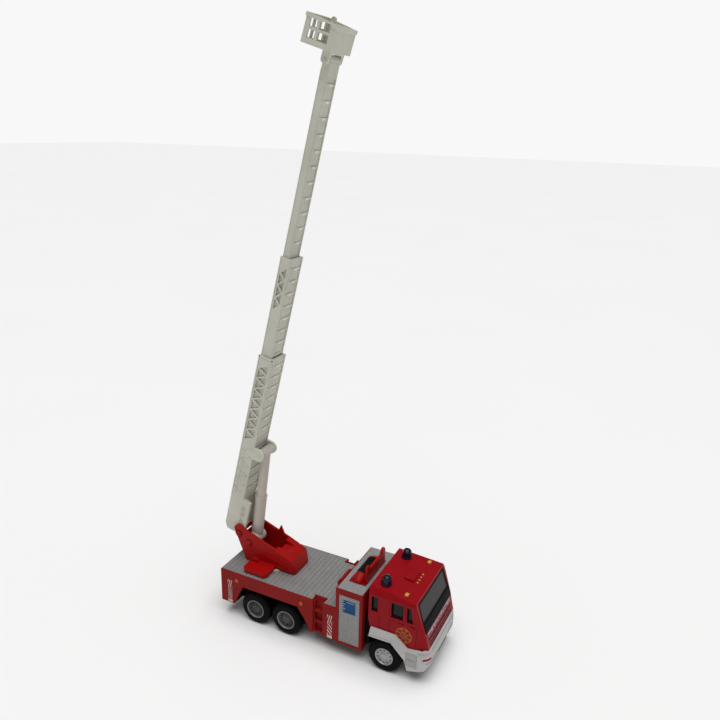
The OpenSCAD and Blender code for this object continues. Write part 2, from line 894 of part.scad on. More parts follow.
// ---------------------------------------------------------------- ram

module ram_barrel() {
    color(CREAM)
        on_ram()
            difference() {
                union() {
                    rod_y(foot_r, -foot_half, foot_half);
                    cylinder(d = barrel_d, h = barrel_end);
                    translate([0, 0, barrel_end - 1])
                        cylinder(d = barrel_d + 0.5, h = 1);
                }
                rod_y(pin_d / 2 + run_fit, -half_w, half_w);
                translate([0, 0, rod_start - ram_travel])
                    cylinder(d = rod_d + 2 * run_fit, h = barrel_end);
            }
}

module ram_rod() {
    color(CREAM)
        on_ram()
            difference() {
                union() {
                    translate([0, 0, rod_start])
                        cylinder(d = rod_d, h = ram_len - rod_start);
                    translate([0, 0, ram_len])
                        rod_y(rod_d / 2, -eye_half, eye_half);
                }
                translate([0, 0, ram_len])
                    rod_y(eye_bore, -half_w, half_w);
            }
}

// ---------------------------------------------------------------- bucket

module on_knuckle() {
    on_ladder()
        translate([knuckle_k, 0, knuckle_s])
            rotate([0, bucket_tilt, 0])
                children();
}

// Openings in the bucket: two by two in each side, and three by two in the rear wall
module bucket_windows() {
    for (row = [0 : 1])
        translate([bucket_k0, 0, window_z + row * (window + window_gap)]) {
            for (w = window_side)
                translate([w[0], -bucket_w, 0])
                    cube([w[1], bucket_w * 2, window]);
            for (col = [-1 : 1])
                translate([-1, col * (window_rear + window_gap) - window_rear / 2, 0])
                    cube([bucket_t + 1.4, window_rear, window]);
        }
}

module bucket() {
    half = bucket_w / 2;
    color(CREAM)
        on_knuckle()
            difference() {
                union() {
                    difference() {
                        union() {
                            across(-half, half)
                                polygon([
                                    [bucket_k0, knuckle_rise], [bucket_k0, bucket_top],
                                    [bucket_k1, bucket_top - rim_drop], [bucket_k1, knuckle_rise]
                                ]);
                            across(-half - rim_out, half + rim_out)
                                polygon([
                                    [bucket_k0 - rim_out, bucket_top - rim_h],
                                    [bucket_k0 - rim_out, bucket_top],
                                    [bucket_k1 + rim_out, bucket_top - rim_drop],
                                    [bucket_k1 + rim_out, bucket_top - rim_drop - rim_h]
                                ]);
                            translate([bucket_k0 + 3.4, 0, bucket_top])
                                rod_y(1.3, half - 1.4, half + rim_out);
                        }
                        box(bucket_k0 + bucket_t, bucket_k1 - bucket_t, -half + bucket_t, half - bucket_t,
                            knuckle_rise + bucket_t, bucket_top + 2);
                        bucket_windows();
                    }
                    both_sides() {
                        rod_y(cheek_r, half3 + slide_gap, knuckle_half);
                        box(-cheek_r, cheek_r, half3 + slide_gap, knuckle_half, 0, knuckle_rise + 0.5);
                    }
                    box(-cheek_r, cheek_r, -knuckle_half, knuckle_half, knuckle_rise - 1, knuckle_rise + 0.5);
                }
                rod_y(bucket_pin_d / 2, -half_w, half_w);
            }
}

module bucket_pin() {
    color(CREAM)
        on_knuckle()
            rod_y(bucket_pin_d / 2, -knuckle_half - 0.2, knuckle_half + 0.2);
}

chassis();
rear_body();
deck_plate();
locker_shutters();
locker_top();
hose_roll();
ladder_rest();
cab_shell();
cab_glazing();
front_black();
front_trim();
beacons();
roof_lamps();
side_lamps();
axle_at(front_axle_x);  // front_axle
tyres_at(front_axle_x, front_hub_r);  // front_tyres
hubs_at(front_axle_x, front_hub_r, 0.9);  // front_hubs
axle_at(middle_axle_x);  // middle_axle
tyres_at(middle_axle_x, rear_hub_r);  // middle_tyres
hubs_at(middle_axle_x, rear_hub_r, 3.4);  // middle_hubs
axle_at(rear_axle_x);  // rear_axle
tyres_at(rear_axle_x, rear_hub_r);  // rear_tyres
hubs_at(rear_axle_x, rear_hub_r, 3.4);  // rear_hubs
turntable();
turntable_ring();
hinge_pins();
ladder_lower();
ram_top_pin();
ladder_middle();
ladder_top();
ram_rod();
ram_barrel();
bucket();
bucket_pin();
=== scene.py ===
"""Toy fire engine: materials, painted marks and fine detail on the CAD frame."""

import math

import bmesh
import bpy
from mathutils import Matrix, Vector


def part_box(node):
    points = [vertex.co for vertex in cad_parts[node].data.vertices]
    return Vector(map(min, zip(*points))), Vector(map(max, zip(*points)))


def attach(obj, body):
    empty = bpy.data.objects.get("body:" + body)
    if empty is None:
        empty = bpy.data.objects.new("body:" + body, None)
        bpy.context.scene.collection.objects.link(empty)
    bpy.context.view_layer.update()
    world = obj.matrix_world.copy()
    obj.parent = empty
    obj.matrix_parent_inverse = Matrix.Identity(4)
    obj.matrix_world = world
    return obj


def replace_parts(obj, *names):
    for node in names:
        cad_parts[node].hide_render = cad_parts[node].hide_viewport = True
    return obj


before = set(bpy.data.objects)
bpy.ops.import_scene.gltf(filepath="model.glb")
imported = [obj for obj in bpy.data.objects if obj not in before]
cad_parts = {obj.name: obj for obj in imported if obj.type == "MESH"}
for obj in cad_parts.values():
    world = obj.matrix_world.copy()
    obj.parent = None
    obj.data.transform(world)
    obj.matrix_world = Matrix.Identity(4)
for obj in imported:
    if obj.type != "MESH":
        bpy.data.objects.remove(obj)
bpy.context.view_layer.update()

# Sizes are in millimetres, and MM turns them into the scene's metres
MM = 0.001
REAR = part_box("rear_body")[0][0]
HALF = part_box("rear_body")[1][1] / MM
CAB_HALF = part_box("cab_shell")[1][1] / MM
LENGTH = 150.0
NOSE_R = 6.5                            # the bumper's corners
FRONT_X, FRONT_Z, FRONT_LEAN = 149, 24, 4    # the cab's front: foot, and rise for 1 mm back
SCREEN_X, SCREEN_Z = 146, 36            # foot of the windscreen
SCREEN_RUN, SCREEN_RISE = 6.2, 18.5
ROOF_X, ROOF_Z = 109.6, 57.2            # rear edge of the roof
ROOF_FALL, ROOF_RUN = 2.7, 30.2
CHIN_Z, CHIN_LEAN = 13.2, 0.8125        # where the bumper turns back below, and how fast
BROW_Z, BROW_LEAN = 21.6, 0.38          # the same above
LEAN = math.radians(13.7)               # lean of the raised ladder
HINGE = (4.2, 54.0)


# ---------------------------------------------------------------- places
# Each place turns two coordinates in a surface, and a height off it, into a point.
# X is counted forward from the rear face of the body, in millimetres.

def point(x, y, z):
    return Vector((REAR + x * MM, y * MM, z * MM))


def side(sign, half):
    return lambda x, z, h: point(x, sign * (half + h), z)


def cab_front(y, z, h):
    return point(FRONT_X - (z - FRONT_Z) / FRONT_LEAN + h, y, z + h / FRONT_LEAN)


def screen(y, z, h):
    return point(SCREEN_X - (z - SCREEN_Z) * SCREEN_RUN / SCREEN_RISE + h, y, z + h * 0.3)


def roof_point(x, y, h):
    fall = math.atan2(ROOF_FALL, ROOF_RUN)
    return point(ROOF_X + x * math.cos(fall) + h * math.sin(fall), y,
                 ROOF_Z - x * math.sin(fall) + h * math.cos(fall))


def bumper(sign):
    """Round the bumper: s runs from the middle of the nose, round the corner and back along the side."""
    flat = HALF - NOSE_R
    arc = NOSE_R * math.pi / 2

    def place(s, z, h):
        back = max(0.0, CHIN_Z - z) * CHIN_LEAN + max(0.0, z - BROW_Z) * BROW_LEAN
        if s < flat:
            return point(LENGTH + h - back, sign * s, z)
        if s < flat + arc:
            a = (s - flat) / NOSE_R
            return point(LENGTH - NOSE_R + (NOSE_R + h) * math.cos(a) - back * math.cos(a),
                         sign * (flat + (NOSE_R + h) * math.sin(a)), z)
        return point(LENGTH - NOSE_R - (s - flat - arc), sign * (HALF + h), z)
    return place


def ladder(s, k, y):
    """s runs up the raised ladder from its hinge, k stands out of its underside."""
    return point(HINGE[0] + s * math.sin(LEAN) + k * math.cos(LEAN), y,
                 HINGE[1] + s * math.cos(LEAN) - k * math.sin(LEAN))


def ladder_side(sign, half):
    return lambda k, s, h: ladder(s, k, sign * (half + h))


# ---------------------------------------------------------------- shapes

class Shape:
    """Gathers prisms and turned forms into one mesh object that rides on a body."""

    def __init__(self, name, material, body, smooth=False):
        self.name, self.material, self.body, self.smooth = name, material, body, smooth
        self.verts, self.faces = [], []

    def enclose(self, n):
        """Two ends and the sides between the last two rings of n points."""
        start = len(self.verts) - 2 * n
        self.faces.append([start + i for i in reversed(range(n))])
        self.faces.append([start + n + i for i in range(n)])
        for i in range(n):
            j = (i + 1) % n
            self.faces.append([start + i, start + j, start + n + j, start + n + i])
        return self

    def prism(self, place, outline, low, high):
        self.verts += [place(a, b, low) for a, b in outline]
        self.verts += [place(a, b, high) for a, b in outline]
        return self.enclose(len(outline))

    def rect(self, place, a0, a1, b0, b1, low, high, cuts=1):
        low_edge = [(a0 + (a1 - a0) * i / cuts, b0) for i in range(cuts + 1)]
        high_edge = [(a, b1) for a, _ in reversed(low_edge)]
        if cuts == 1:
            return self.prism(place, low_edge + high_edge, low, high)
        for i in range(cuts):
            (x0, _), (x1, _) = low_edge[i], low_edge[i + 1]
            self.prism(place, [(x0, b0), (x1, b0), (x1, b1), (x0, b1)], low, high)
        return self

    def disc(self, place, a, b, r, low, high, n=24, r_top=None):
        top = r if r_top is None else r_top
        ring = [(math.cos(2 * math.pi * i / n), math.sin(2 * math.pi * i / n)) for i in range(n)]
        self.verts += [place(a + r * c, b + r * s, low) for c, s in ring]
        self.verts += [place(a + top * c, b + top * s, high) for c, s in ring]
        return self.enclose(n)

    def lathe(self, place, a, b, profile, n=48):
        """profile is (radius, height) from the outside in; a radius of 0 closes it."""
        start = len(self.verts)
        for r, h in profile:
            for i in range(n):
                t = 2 * math.pi * i / n
                self.verts.append(place(a + r * math.cos(t), b + r * math.sin(t), h))
        for row in range(len(profile) - 1):
            for i in range(n):
                j = (i + 1) % n
                p = start + row * n
                self.faces.append([p + i, p + j, p + n + j, p + n + i])
        return self

    def done(self):
        mesh = bpy.data.meshes.new(self.name)
        mesh.from_pydata([tuple(v) for v in self.verts], [], self.faces)
        mesh.validate()
        bm = bmesh.new()
        bm.from_mesh(mesh)
        bmesh.ops.remove_doubles(bm, verts=bm.verts, dist=1e-6)
        bmesh.ops.recalc_face_normals(bm, faces=bm.faces)
        bm.to_mesh(mesh)
        bm.free()
        if self.smooth:
            mesh.shade_smooth()
            mesh.set_sharp_from_angle(angle=math.radians(32))
        obj = bpy.data.objects.new(self.name, mesh)
        bpy.context.scene.collection.objects.link(obj)
        mesh.materials.append(self.material)
        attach(obj, self.body)
        return obj


def clip(outline, a0, a1, b0, b1):
    """Cuts a convex outline to a rectangle."""
    def cut(points, inside, cross):
        out = []
        for i, p in enumerate(points):
            q = points[(i + 1) % len(points)]
            if inside(p):
                out.append(p)
            if inside(p) != inside(q):
                out.append(cross(p, q))
        return out

    def at_a(v):
        return lambda p, q: (v, p[1] + (q[1] - p[1]) * (v - p[0]) / (q[0] - p[0]))

    def at_b(v):
        return lambda p, q: (p[0] + (q[0] - p[0]) * (v - p[1]) / (q[1] - p[1]), v)

    points = outline
    for inside, cross in ((lambda p: p[0] >= a0, at_a(a0)), (lambda p: p[0] <= a1, at_a(a1)),
                          (lambda p: p[1] >= b0, at_b(b0)), (lambda p: p[1] <= b1, at_b(b1))):
        if len(points) < 3:
            return []
        points = cut(points, inside, cross)
    return points if len(points) > 2 else []


# ---------------------------------------------------------------- materials

class Nodes:
    """A short way to write a node material, in the object's own coordinates."""

    def __init__(self, name):
        self.mat = bpy.data.materials.new(name)
        self.mat.use_nodes = True
        self.tree = self.mat.node_tree
        self.bsdf = self.tree.nodes["Principled BSDF"]
        self.coord = self.add("ShaderNodeTexCoord").outputs["Object"]
        self.xyz = None

    def add(self, kind, **settings):
        node = self.tree.nodes.new(kind)
        for key, value in settings.items():
            setattr(node, key, value)
        return node

    def put(self, value, socket):
        if isinstance(value, bpy.types.NodeSocket):
            self.tree.links.new(value, socket)
        else:
            socket.default_value = value

    def noise(self, scale, detail=3.0, rough=0.55, stretch=None):
        node = self.add("ShaderNodeTexNoise")
        vector = self.coord
        if stretch:
            mapping = self.add("ShaderNodeMapping")
            self.tree.links.new(self.coord, mapping.inputs["Vector"])
            mapping.inputs["Scale"].default_value = stretch
            vector = mapping.outputs["Vector"]
        self.tree.links.new(vector, node.inputs["Vector"])
        node.inputs["Scale"].default_value = scale
        node.inputs["Detail"].default_value = detail
        node.inputs["Roughness"].default_value = rough
        return node.outputs["Fac"]

    def math(self, op, a, b=0.0):
        node = self.add("ShaderNodeMath", operation=op)
        self.put(a, node.inputs[0])
        self.put(b, node.inputs[1])
        return node.outputs[0]

    def axis(self, name):
        if self.xyz is None:
            self.xyz = self.add("ShaderNodeSeparateXYZ")
            self.tree.links.new(self.coord, self.xyz.inputs[0])
        return self.xyz.outputs[name]

    def ramp(self, value, low, high, out_low=0.0, out_high=1.0):
        node = self.add("ShaderNodeMapRange")
        self.put(value, node.inputs["Value"])
        node.inputs["From Min"].default_value = low
        node.inputs["From Max"].default_value = high
        node.inputs["To Min"].default_value = out_low
        node.inputs["To Max"].default_value = out_high
        return node.outputs[0]

    def wave(self, value, pitch, phase=0.0):
        """0 to 1 and back once in each pitch, in metres."""
        turn = self.math("MULTIPLY_ADD", value, 2 * math.pi / pitch)
        turn.node.inputs[2].default_value = phase
        return self.ramp(self.math("SINE", turn), -1.0, 1.0)

    def mix(self, fac, a, b):
        node = self.add("ShaderNodeMix", data_type="RGBA")
        self.put(fac, node.inputs[0])
        self.put(a if isinstance(a, bpy.types.NodeSocket) else (*a, 1.0), node.inputs[6])
        self.put(b if isinstance(b, bpy.types.NodeSocket) else (*b, 1.0), node.inputs[7])
        return node.outputs[2]

    def edges(self, radius):
        """A mask that is 1 along rounded edges and 0 on flat faces, and the rounded normal."""
        bevel = self.add("ShaderNodeBevel", samples=4)
        bevel.inputs["Radius"].default_value = radius
        flat = self.add("ShaderNodeNewGeometry").outputs["Normal"]
        dot = self.add("ShaderNodeVectorMath", operation="DOT_PRODUCT")
        self.tree.links.new(bevel.outputs[0], dot.inputs[0])
        self.tree.links.new(flat, dot.inputs[1])
        return self.ramp(dot.outputs["Value"], 0.995, 0.86), bevel.outputs[0]

    def bump(self, height, depth, normal=None):
        node = self.add("ShaderNodeBump")
        node.inputs["Strength"].default_value = 1.0
        node.inputs["Distance"].default_value = depth
        self.put(height, node.inputs["Height"])
        if normal is not None:
            self.tree.links.new(normal, node.inputs["Normal"])
        return node.outputs[0]

    def finish(self, color, rough, normal, metallic=0.0, coat=0.0, coat_rough=0.15, specular=0.5):
        self.put(color if isinstance(color, bpy.types.NodeSocket) else (*color, 1.0),
                 self.bsdf.inputs["Base Color"])
        self.put(rough, self.bsdf.inputs["Roughness"])
        self.put(metallic, self.bsdf.inputs["Metallic"])
        self.put(specular, self.bsdf.inputs["Specular IOR Level"])
        self.put(coat, self.bsdf.inputs["Coat Weight"])
        self.put(coat_rough, self.bsdf.inputs["Coat Roughness"])
        if normal is not None:
            self.put(normal, self.bsdf.inputs["Normal"])
        self.mat.diffuse_color = (0.5, 0.5, 0.5, 1.0)
        return self.mat


def shade(color, factor):
    """The colour made darker or lighter."""
    return tuple(min(1.0, c * factor) for c in color)


ROUNDING = 0.28                         # radius that edges are shaded with
GRAIN_SIZE = 0.25


def plastic(name, color, rough=0.35, spread=0.12, grain=0.012, edge=1.25, metallic=0.0, coat=0.0,
            specular=0.07):
    """Moulded or painted surface: uneven colour, fine grain, and rounded edges lightened as a painted
    highlight.
    """
    n = Nodes(name)
    patch = n.noise(55, 3)
    mask, smooth_normal = n.edges(ROUNDING * MM)
    base = n.mix(n.ramp(patch, 0.3, 0.7), shade(color, 1 - spread), shade(color, 1 + spread))
    scuff = n.ramp(n.noise(420, 5, 0.7), 0.62, 0.74)
    base = n.mix(n.math("MULTIPLY", scuff, 0.22), base, shade(color, 0.6))
    # Painted highlight: rounded edges are made lighter by the factor edge.
    base = n.mix(n.math("MULTIPLY", mask, 0.55), base, shade(color, edge))
    gloss = n.ramp(n.noise(160, 4), 0.25, 0.75, rough - 0.07, rough + 0.1)
    fine = n.noise(1 / (GRAIN_SIZE * MM), 3)
    low = n.bump(n.noise(140, 2), 0.06 * MM, smooth_normal)
    return n.finish(base, gloss, n.bump(fine, grain * MM, low), metallic, coat, 0.12, specular)


RED = (0.235, 0.010, 0.009)
CAB_RED = (0.275, 0.003, 0.007)
CREAM = (0.60, 0.59, 0.51)

red_body = plastic("red_plastic", RED, 0.42, 0.10)
red_cab = plastic("red_enamel", CAB_RED, 0.30, 0.08, grain=0.008, specular=0.1)
red_table = plastic("red_turntable", (0.34, 0.004, 0.004), 0.32, 0.08, specular=0.12)
white_trim = plastic("white_plastic", (0.50, 0.49, 0.48), 0.42, 0.10, edge=1.2)
cream = plastic("cream_plastic", CREAM, 0.48, 0.07, grain=0.014, edge=1.15)
cream_rung_highlight = plastic("cream_painted_highlight", (0.80, 0.79, 0.71), 0.45, 0.07, grain=0.014, edge=1.1)
cream_rod = plastic("cream_rod", (0.55, 0.505, 0.445), 0.40, 0.06, edge=1.12)
black = plastic("black_plastic", (0.005, 0.005, 0.005), 0.45, 0.3, edge=2.2, specular=0.03)
ribbed = plastic("hose_rubber", (0.006, 0.008, 0.007), 0.5, 0.3, grain=0.03, edge=2.6, specular=0.05)
steel = plastic("axle_steel", (0.55, 0.55, 0.56), 0.28, 0.1, metallic=1.0)
silver = plastic("plated_silver", (0.34, 0.34, 0.345), 0.34, 0.14, metallic=0.5, coat=0.15, edge=1.4)
rim_grey = plastic("rim_grey", (0.24, 0.24, 0.24), 0.40, 0.2, metallic=0.4, edge=1.7)
hub_dark = plastic("dish_grey", (0.075, 0.075, 0.073), 0.48, 0.3, metallic=0.2, edge=2.6, specular=0.1)
hole_shade_black = plastic("hole_shade_black", (0.003, 0.003, 0.003), 0.7, 0.2, specular=0.02)
gold = plastic("gold_print", (0.40, 0.20, 0.045), 0.45, 0.3, grain=0.02, edge=1.1)
lamp_gold = plastic("roof_lamp_gold", (0.50, 0.26, 0.07), 0.35, 0.3, grain=0.02, edge=1.3)
amber = plastic("amber_lamp", (0.42, 0.07, 0.010), 0.25, 0.15, coat=0.3)
white_print_and_glint = plastic("white_print_and_glint", (0.60, 0.54, 0.52), 0.45, 0.2, grain=0.02)
print_cream = plastic("print_cream", (0.50, 0.48, 0.30), 0.45, 0.15, grain=0.02)
print_blue = plastic("print_blue", (0.014, 0.075, 0.20), 0.40, 0.3, grain=0.02)
print_rose = plastic("rosette_print", (0.30, 0.05, 0.045), 0.45, 0.35, grain=0.02)
print_magenta = plastic("print_magenta", (0.30, 0.006, 0.035), 0.35, 0.15, grain=0.02)
seam = plastic("seam_line_and_pin_shade", (0.085, 0.002, 0.004), 0.6, 0.2)
grille_dark = plastic("grille_shadow", (0.075, 0.002, 0.008), 0.5, 0.3)
seam_grey = plastic("seam_grey", (0.22, 0.215, 0.21), 0.6, 0.25)


def planks(name, pitch, axis, fine):
    """Foil-printed silver: ribs across, a dotted tread between them, uneven wear."""
    n = Nodes(name)
    along, across = (n.axis("X"), n.axis("Y")) if axis == "X" else (n.axis("Z"), n.axis("X"))
    rib = n.ramp(n.wave(along, pitch), 0.82, 0.98)
    thin = n.ramp(n.wave(along, pitch / 3, 0.9), 0.6, 0.95)
    dots = n.math("MULTIPLY", n.wave(across, fine), thin)
    speck = n.noise(1700, 3, 0.7)
    worn = n.noise(90, 4)
    grey = n.mix(n.ramp(worn, 0.3, 0.7), (0.225, 0.225, 0.222), (0.275, 0.272, 0.268))
    grey = n.mix(n.math("MULTIPLY", n.ramp(speck, 0.50, 0.62), 0.55), grey, (0.52, 0.50, 0.49))
    grey = n.mix(n.math("MULTIPLY", rib, 0.42), grey, (0.12, 0.12, 0.12))
    grey = n.mix(n.math("MULTIPLY", dots, 0.30), grey, (0.15, 0.15, 0.15))
    height = n.math("SUBTRACT", n.math("MULTIPLY", dots, 0.4), rib)
    normal = n.bump(speck, 0.015 * MM, n.bump(height, 0.10 * MM))
    return n.finish(grey, n.ramp(speck, 0.3, 0.7, 0.38, 0.55), normal, 0.35)


def stamped(name, base, dark, bright):
    """Speckled silver sheet, as on the locker's top."""
    n = Nodes(name)
    speck = n.noise(1500, 4, 0.75)
    cells = n.add("ShaderNodeTexVoronoi")
    n.tree.links.new(n.coord, cells.inputs["Vector"])
    cells.inputs["Scale"].default_value = 900
    grain = n.ramp(cells.outputs["Distance"], 0.15, 0.6)
    color = n.mix(n.ramp(speck, 0.4, 0.6), dark, bright)
    color = n.mix(n.math("MULTIPLY", grain, 0.5), color, base)
    normal = n.bump(grain, 0.05 * MM)
    return n.finish(color, 0.5, normal, 0.25)


AXLE_Z = 11.0
TREAD_BLOCKS = 36
TREAD_FROM, TREAD_TO = 10.4 * MM, 10.8 * MM     # radii where the wall turns into the tread


def rubber(name, x, z):
    """Tyre: blocks round the tread, rings on the wall, patches of dust."""
    n = Nodes(name)
    dx = n.math("SUBTRACT", n.axis("X"), x)
    dz = n.math("SUBTRACT", n.axis("Z"), z)
    angle = n.math("ARCTAN2", dz, dx)
    radius = n.math("SQRT", n.math("ADD", n.math("MULTIPLY", dx, dx), n.math("MULTIPLY", dz, dz)))
    out = n.math("ABSOLUTE", n.axis("Y"))
    tread = n.ramp(radius, TREAD_FROM, TREAD_TO)
    turn = n.math("ADD", n.math("MULTIPLY", angle, TREAD_BLOCKS), n.math("MULTIPLY", out, 900))
    blocks = n.ramp(n.math("SINE", turn), -0.3, 0.3)
    grooves = n.ramp(n.wave(out, 2.1 * MM), 0.15, 0.4)
    pattern = n.math("MULTIPLY", n.math("MULTIPLY", blocks, grooves), tread)
    rings = n.ramp(n.wave(radius, 1.3 * MM), 0.2, 0.8)
    wall = n.math("MULTIPLY", rings, n.math("SUBTRACT", 1.0, tread))
    height = n.math("ADD", pattern, n.math("MULTIPLY", wall, 0.35))
    dust = n.ramp(n.noise(260, 5, 0.7), 0.35, 0.75)
    color = n.mix(dust, (0.0015, 0.0015, 0.0015), (0.006, 0.006, 0.006))
    normal = n.bump(n.noise(3000, 2), 0.012 * MM, n.bump(height, 0.16 * MM))
    return n.finish(color, n.ramp(dust, 0, 1, 0.5, 0.68), normal, specular=0.06)


def glass(name, color, rough, specular):
    n = Nodes(name)
    haze = n.noise(120, 3)
    tint = n.mix(haze, shade(color, 0.85), shade(color, 1.15))
    return n.finish(tint, n.ramp(haze, 0.3, 0.7, rough, rough + 0.05), n.bump(n.noise(60, 2), 0.03 * MM),
                    specular=specular)


def beacon_blue():
    n = Nodes("beacon_blue")
    ribs = n.wave(n.axis("Z"), 0.9 * MM)
    color = n.mix(n.noise(300, 2), (0.001, 0.002, 0.010), (0.002, 0.006, 0.026))
    normal = n.bump(ribs, 0.04 * MM, n.edges(0.3 * MM)[1])
    return n.finish(color, 0.16, normal, specular=0.35)


def grille_print():
    """White and pink specks on red, fading towards the bottom of the grille."""
    n = Nodes("grille_print")
    speck = n.noise(900, 5, 0.8, (1.0, 1.0, 1.6))
    fade = n.ramp(n.axis("Z"), 29.5 * MM, 34.0 * MM, -0.10, 0.06)
    white = n.ramp(n.math("ADD", speck, fade), 0.47, 0.57)
    color = n.mix(white, (0.20, 0.004, 0.018), (0.66, 0.44, 0.47))
    return n.finish(color, 0.42, n.bump(speck, 0.03 * MM), specular=0.1)


def step_print():
    """Pale side step: a grid of small dots pressed in."""
    n = Nodes("step_print")
    grid = n.math("MULTIPLY", n.ramp(n.wave(n.axis("X"), 0.9 * MM), 0.55, 0.85),
                  n.ramp(n.wave(n.axis("Z"), 0.9 * MM), 0.55, 0.85))
    grid = n.math("MULTIPLY", grid, n.ramp(n.noise(330, 3), 0.40, 0.60))
    color = n.mix(n.noise(240, 4), (0.36, 0.35, 0.345), (0.46, 0.45, 0.44))
    color = n.mix(n.math("MULTIPLY", grid, 0.75), color, (0.15, 0.145, 0.14))
    return n.finish(color, 0.5, n.bump(n.math("SUBTRACT", 1.0, grid), 0.08 * MM), specular=0.1)


deck_silver = planks("deck_planks", 3.1 * MM, "X", 0.8 * MM)
shutter_silver = planks("shutter_slats", 1.35 * MM, "Z", 0.7 * MM)
top_silver = stamped("locker_sheet", (0.26, 0.26, 0.26), (0.15, 0.15, 0.15), (0.42, 0.42, 0.42))
smoke = glass("smoke_windows", (0.012, 0.0145, 0.0145), 0.10, 0.15)
smoke_front = glass("smoke_screen", (0.035, 0.034, 0.035), 0.14, 0.10)
blue_lens = beacon_blue()
grille = grille_print()
step_dots = step_print()

AXLE_R = 1.2
front_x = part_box("front_axle")[0][0] + AXLE_R * MM
middle_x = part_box("middle_axle")[0][0] + AXLE_R * MM
rear_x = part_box("rear_axle")[0][0] + AXLE_R * MM

paint = {
    "chassis": black, "rear_body": red_body, "deck_plate": deck_silver,
    "locker_shutters": shutter_silver, "locker_top": top_silver, "hose_roll": ribbed,
    "ladder_rest": red_table, "cab_shell": red_cab, "cab_glazing": smoke, "front_black": black,
    "front_trim": white_trim, "beacons": blue_lens, "roof_lamps": lamp_gold, "side_lamps": amber,
    "front_axle": steel, "middle_axle": steel, "rear_axle": steel,
    "front_tyres": rubber("front_rubber", front_x, AXLE_Z * MM),
    "middle_tyres": rubber("middle_rubber", middle_x, AXLE_Z * MM),
    "rear_tyres": rubber("rear_rubber", rear_x, AXLE_Z * MM),
    "turntable": red_table, "hinge_pins": red_table, "turntable_ring": cream,
    "ladder_lower": cream, "ladder_middle": cream, "ladder_top": cream, "ram_top_pin": cream_rod,
    "ram_rod": cream_rod, "ram_barrel": cream_rod, "bucket": cream, "bucket_pin": cream_rod,
}
for node, material in paint.items():
    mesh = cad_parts[node].data
    mesh.materials.clear()
    mesh.materials.append(material)

# ---------------------------------------------------------------- painted marks on the body

PRINT = 0.07                            # thickness of the printed marks
HATCH_X = ((5.3, 8.8), (81.7, 85.3))    # the two hatch strips on each side
STEEP_Z = (21.4, 27.6)                  # their steep bars
SLANT_Z = (13.0, 20.8)                  # their slanting bars, below
PATCH_X, PATCH_Z = (92.4, 101.2), (33.3, 42.3)


def hatch_strips(white, pale, body):
    """Steep bars over slanting ones, with a small block at the foot."""
    for x0, x1 in HATCH_X:
        low, high = STEEP_Z
        for i in range(4):
            a = x0 - 1.3 + i * 1.45
            bar = clip([(a, low), (a + 0.6, low), (a + 2.1, high), (a + 1.5, high)], x0, x1, low, high)
            if bar:
                white.prism(body, bar, 0.0, PRINT)
        for i in range(5):
            z = 9.6 + i * 2.6
            bar = clip([(x0, z + 3.4), (x1, z), (x1, z + 0.9), (x0, z + 4.3)], x0, x1, *SLANT_Z)
            if bar:
                white.prism(body, bar, 0.0, PRINT)
        pale.rect(body, x0, x0 + 1.9, 10.3, 12.5, 0.0, PRINT)
        white.rect(body, x0 + 1.9, x1, 10.3, 12.2, 0.0, PRINT)


def locker_print(patch, streaks, panel):
    """A blue patch with thin streaks at its rear edge and one along its top."""
    x0, x1 = PATCH_X
    patch.rect(panel, x0, x1, *PATCH_Z, 0.0, 0.10)
    for i in range(5):
        z = 34.3 + i * 1.75
        streaks.rect(panel, x0, 93.5 + (i % 2) * 0.9, z, 34.6 + i * 1.75, 0.10, 0.15)
    streaks.rect(panel, 95.2, 100.6, 41.2, 41.45, 0.10, 0.15)


stripes_white = Shape("hatch_white", white_print_and_glint, "truck")
stripes_cream = Shape("hatch_cream", print_cream, "truck")
shutter_blue = Shape("locker_patch", print_blue, "truck")
shutter_streaks = Shape("locker_streaks", white_print_and_glint, "truck")
for sign in (-1, 1):
    hatch_strips(stripes_white, stripes_cream, side(sign, HALF))
    locker_print(shutter_blue, shutter_streaks, side(sign, HALF - 0.3))
for shape in (stripes_white, stripes_cream, shutter_blue, shutter_streaks):
    shape.done()


def upright(x, z, h):
    """A section along the engine, with its height off the middle."""
    return point(x, h, z)


def arch_lining():
    """Black lining of the twin wheel arch, which hides the inside of the red body."""
    lining = Shape("arch_lining", black, "truck")
    arch = [(10.9, 10.3), (17.6, 24.6), (59.3, 24.6), (67.4, 13.9), (67.4, 10.0)]
    wide = [(8.6, 10.3), (15.9, 26.2), (60.2, 26.2), (69.4, 14.6), (69.4, 10.0)]
    wall, block = HALF - 2.0, 15.4
    for i in range(len(arch) - 1):
        quad = [arch[i], arch[i + 1], wide[i + 1], wide[i]]
        lining.prism(upright, quad, -wall, wall)
    lining.rect(upright, 11.5, 67.0, 12.2, 26.0, -block, block)
    lining.done()


arch_lining()

# ---------------------------------------------------------------- cab sides

SEAM = 0.03                             # height of the seam lines
# Door and panel seams: place, from and to
UPRIGHT_SEAMS = ((116.8, 29.4, 40.2), (123.4, 29.4, 52.4), (141.2, 24.4, 38.0), (133.6, 38.6, 52.4))
HANDLES_X = (131.2, 138.4)
WINDOWS = ([(111.4, 40.6), (115.6, 40.6), (115.6, 50.8), (111.4, 50.8)],
           [(124.4, 40.4), (132.2, 40.4), (132.2, 50.8), (124.4, 50.8)],
           [(134.6, 40.4), (138.8, 40.4), (137.2, 50.2), (134.6, 50.8)])
ROSETTE = (133.1, 30.5)


def side_seams(target, wall):
    for x, z0, z1 in UPRIGHT_SEAMS:
        target.rect(wall, x - 0.11, x + 0.11, z0, z1, 0.0, SEAM)
    target.rect(wall, 123.4, 141.2, 38.35, 38.55, 0.0, SEAM)


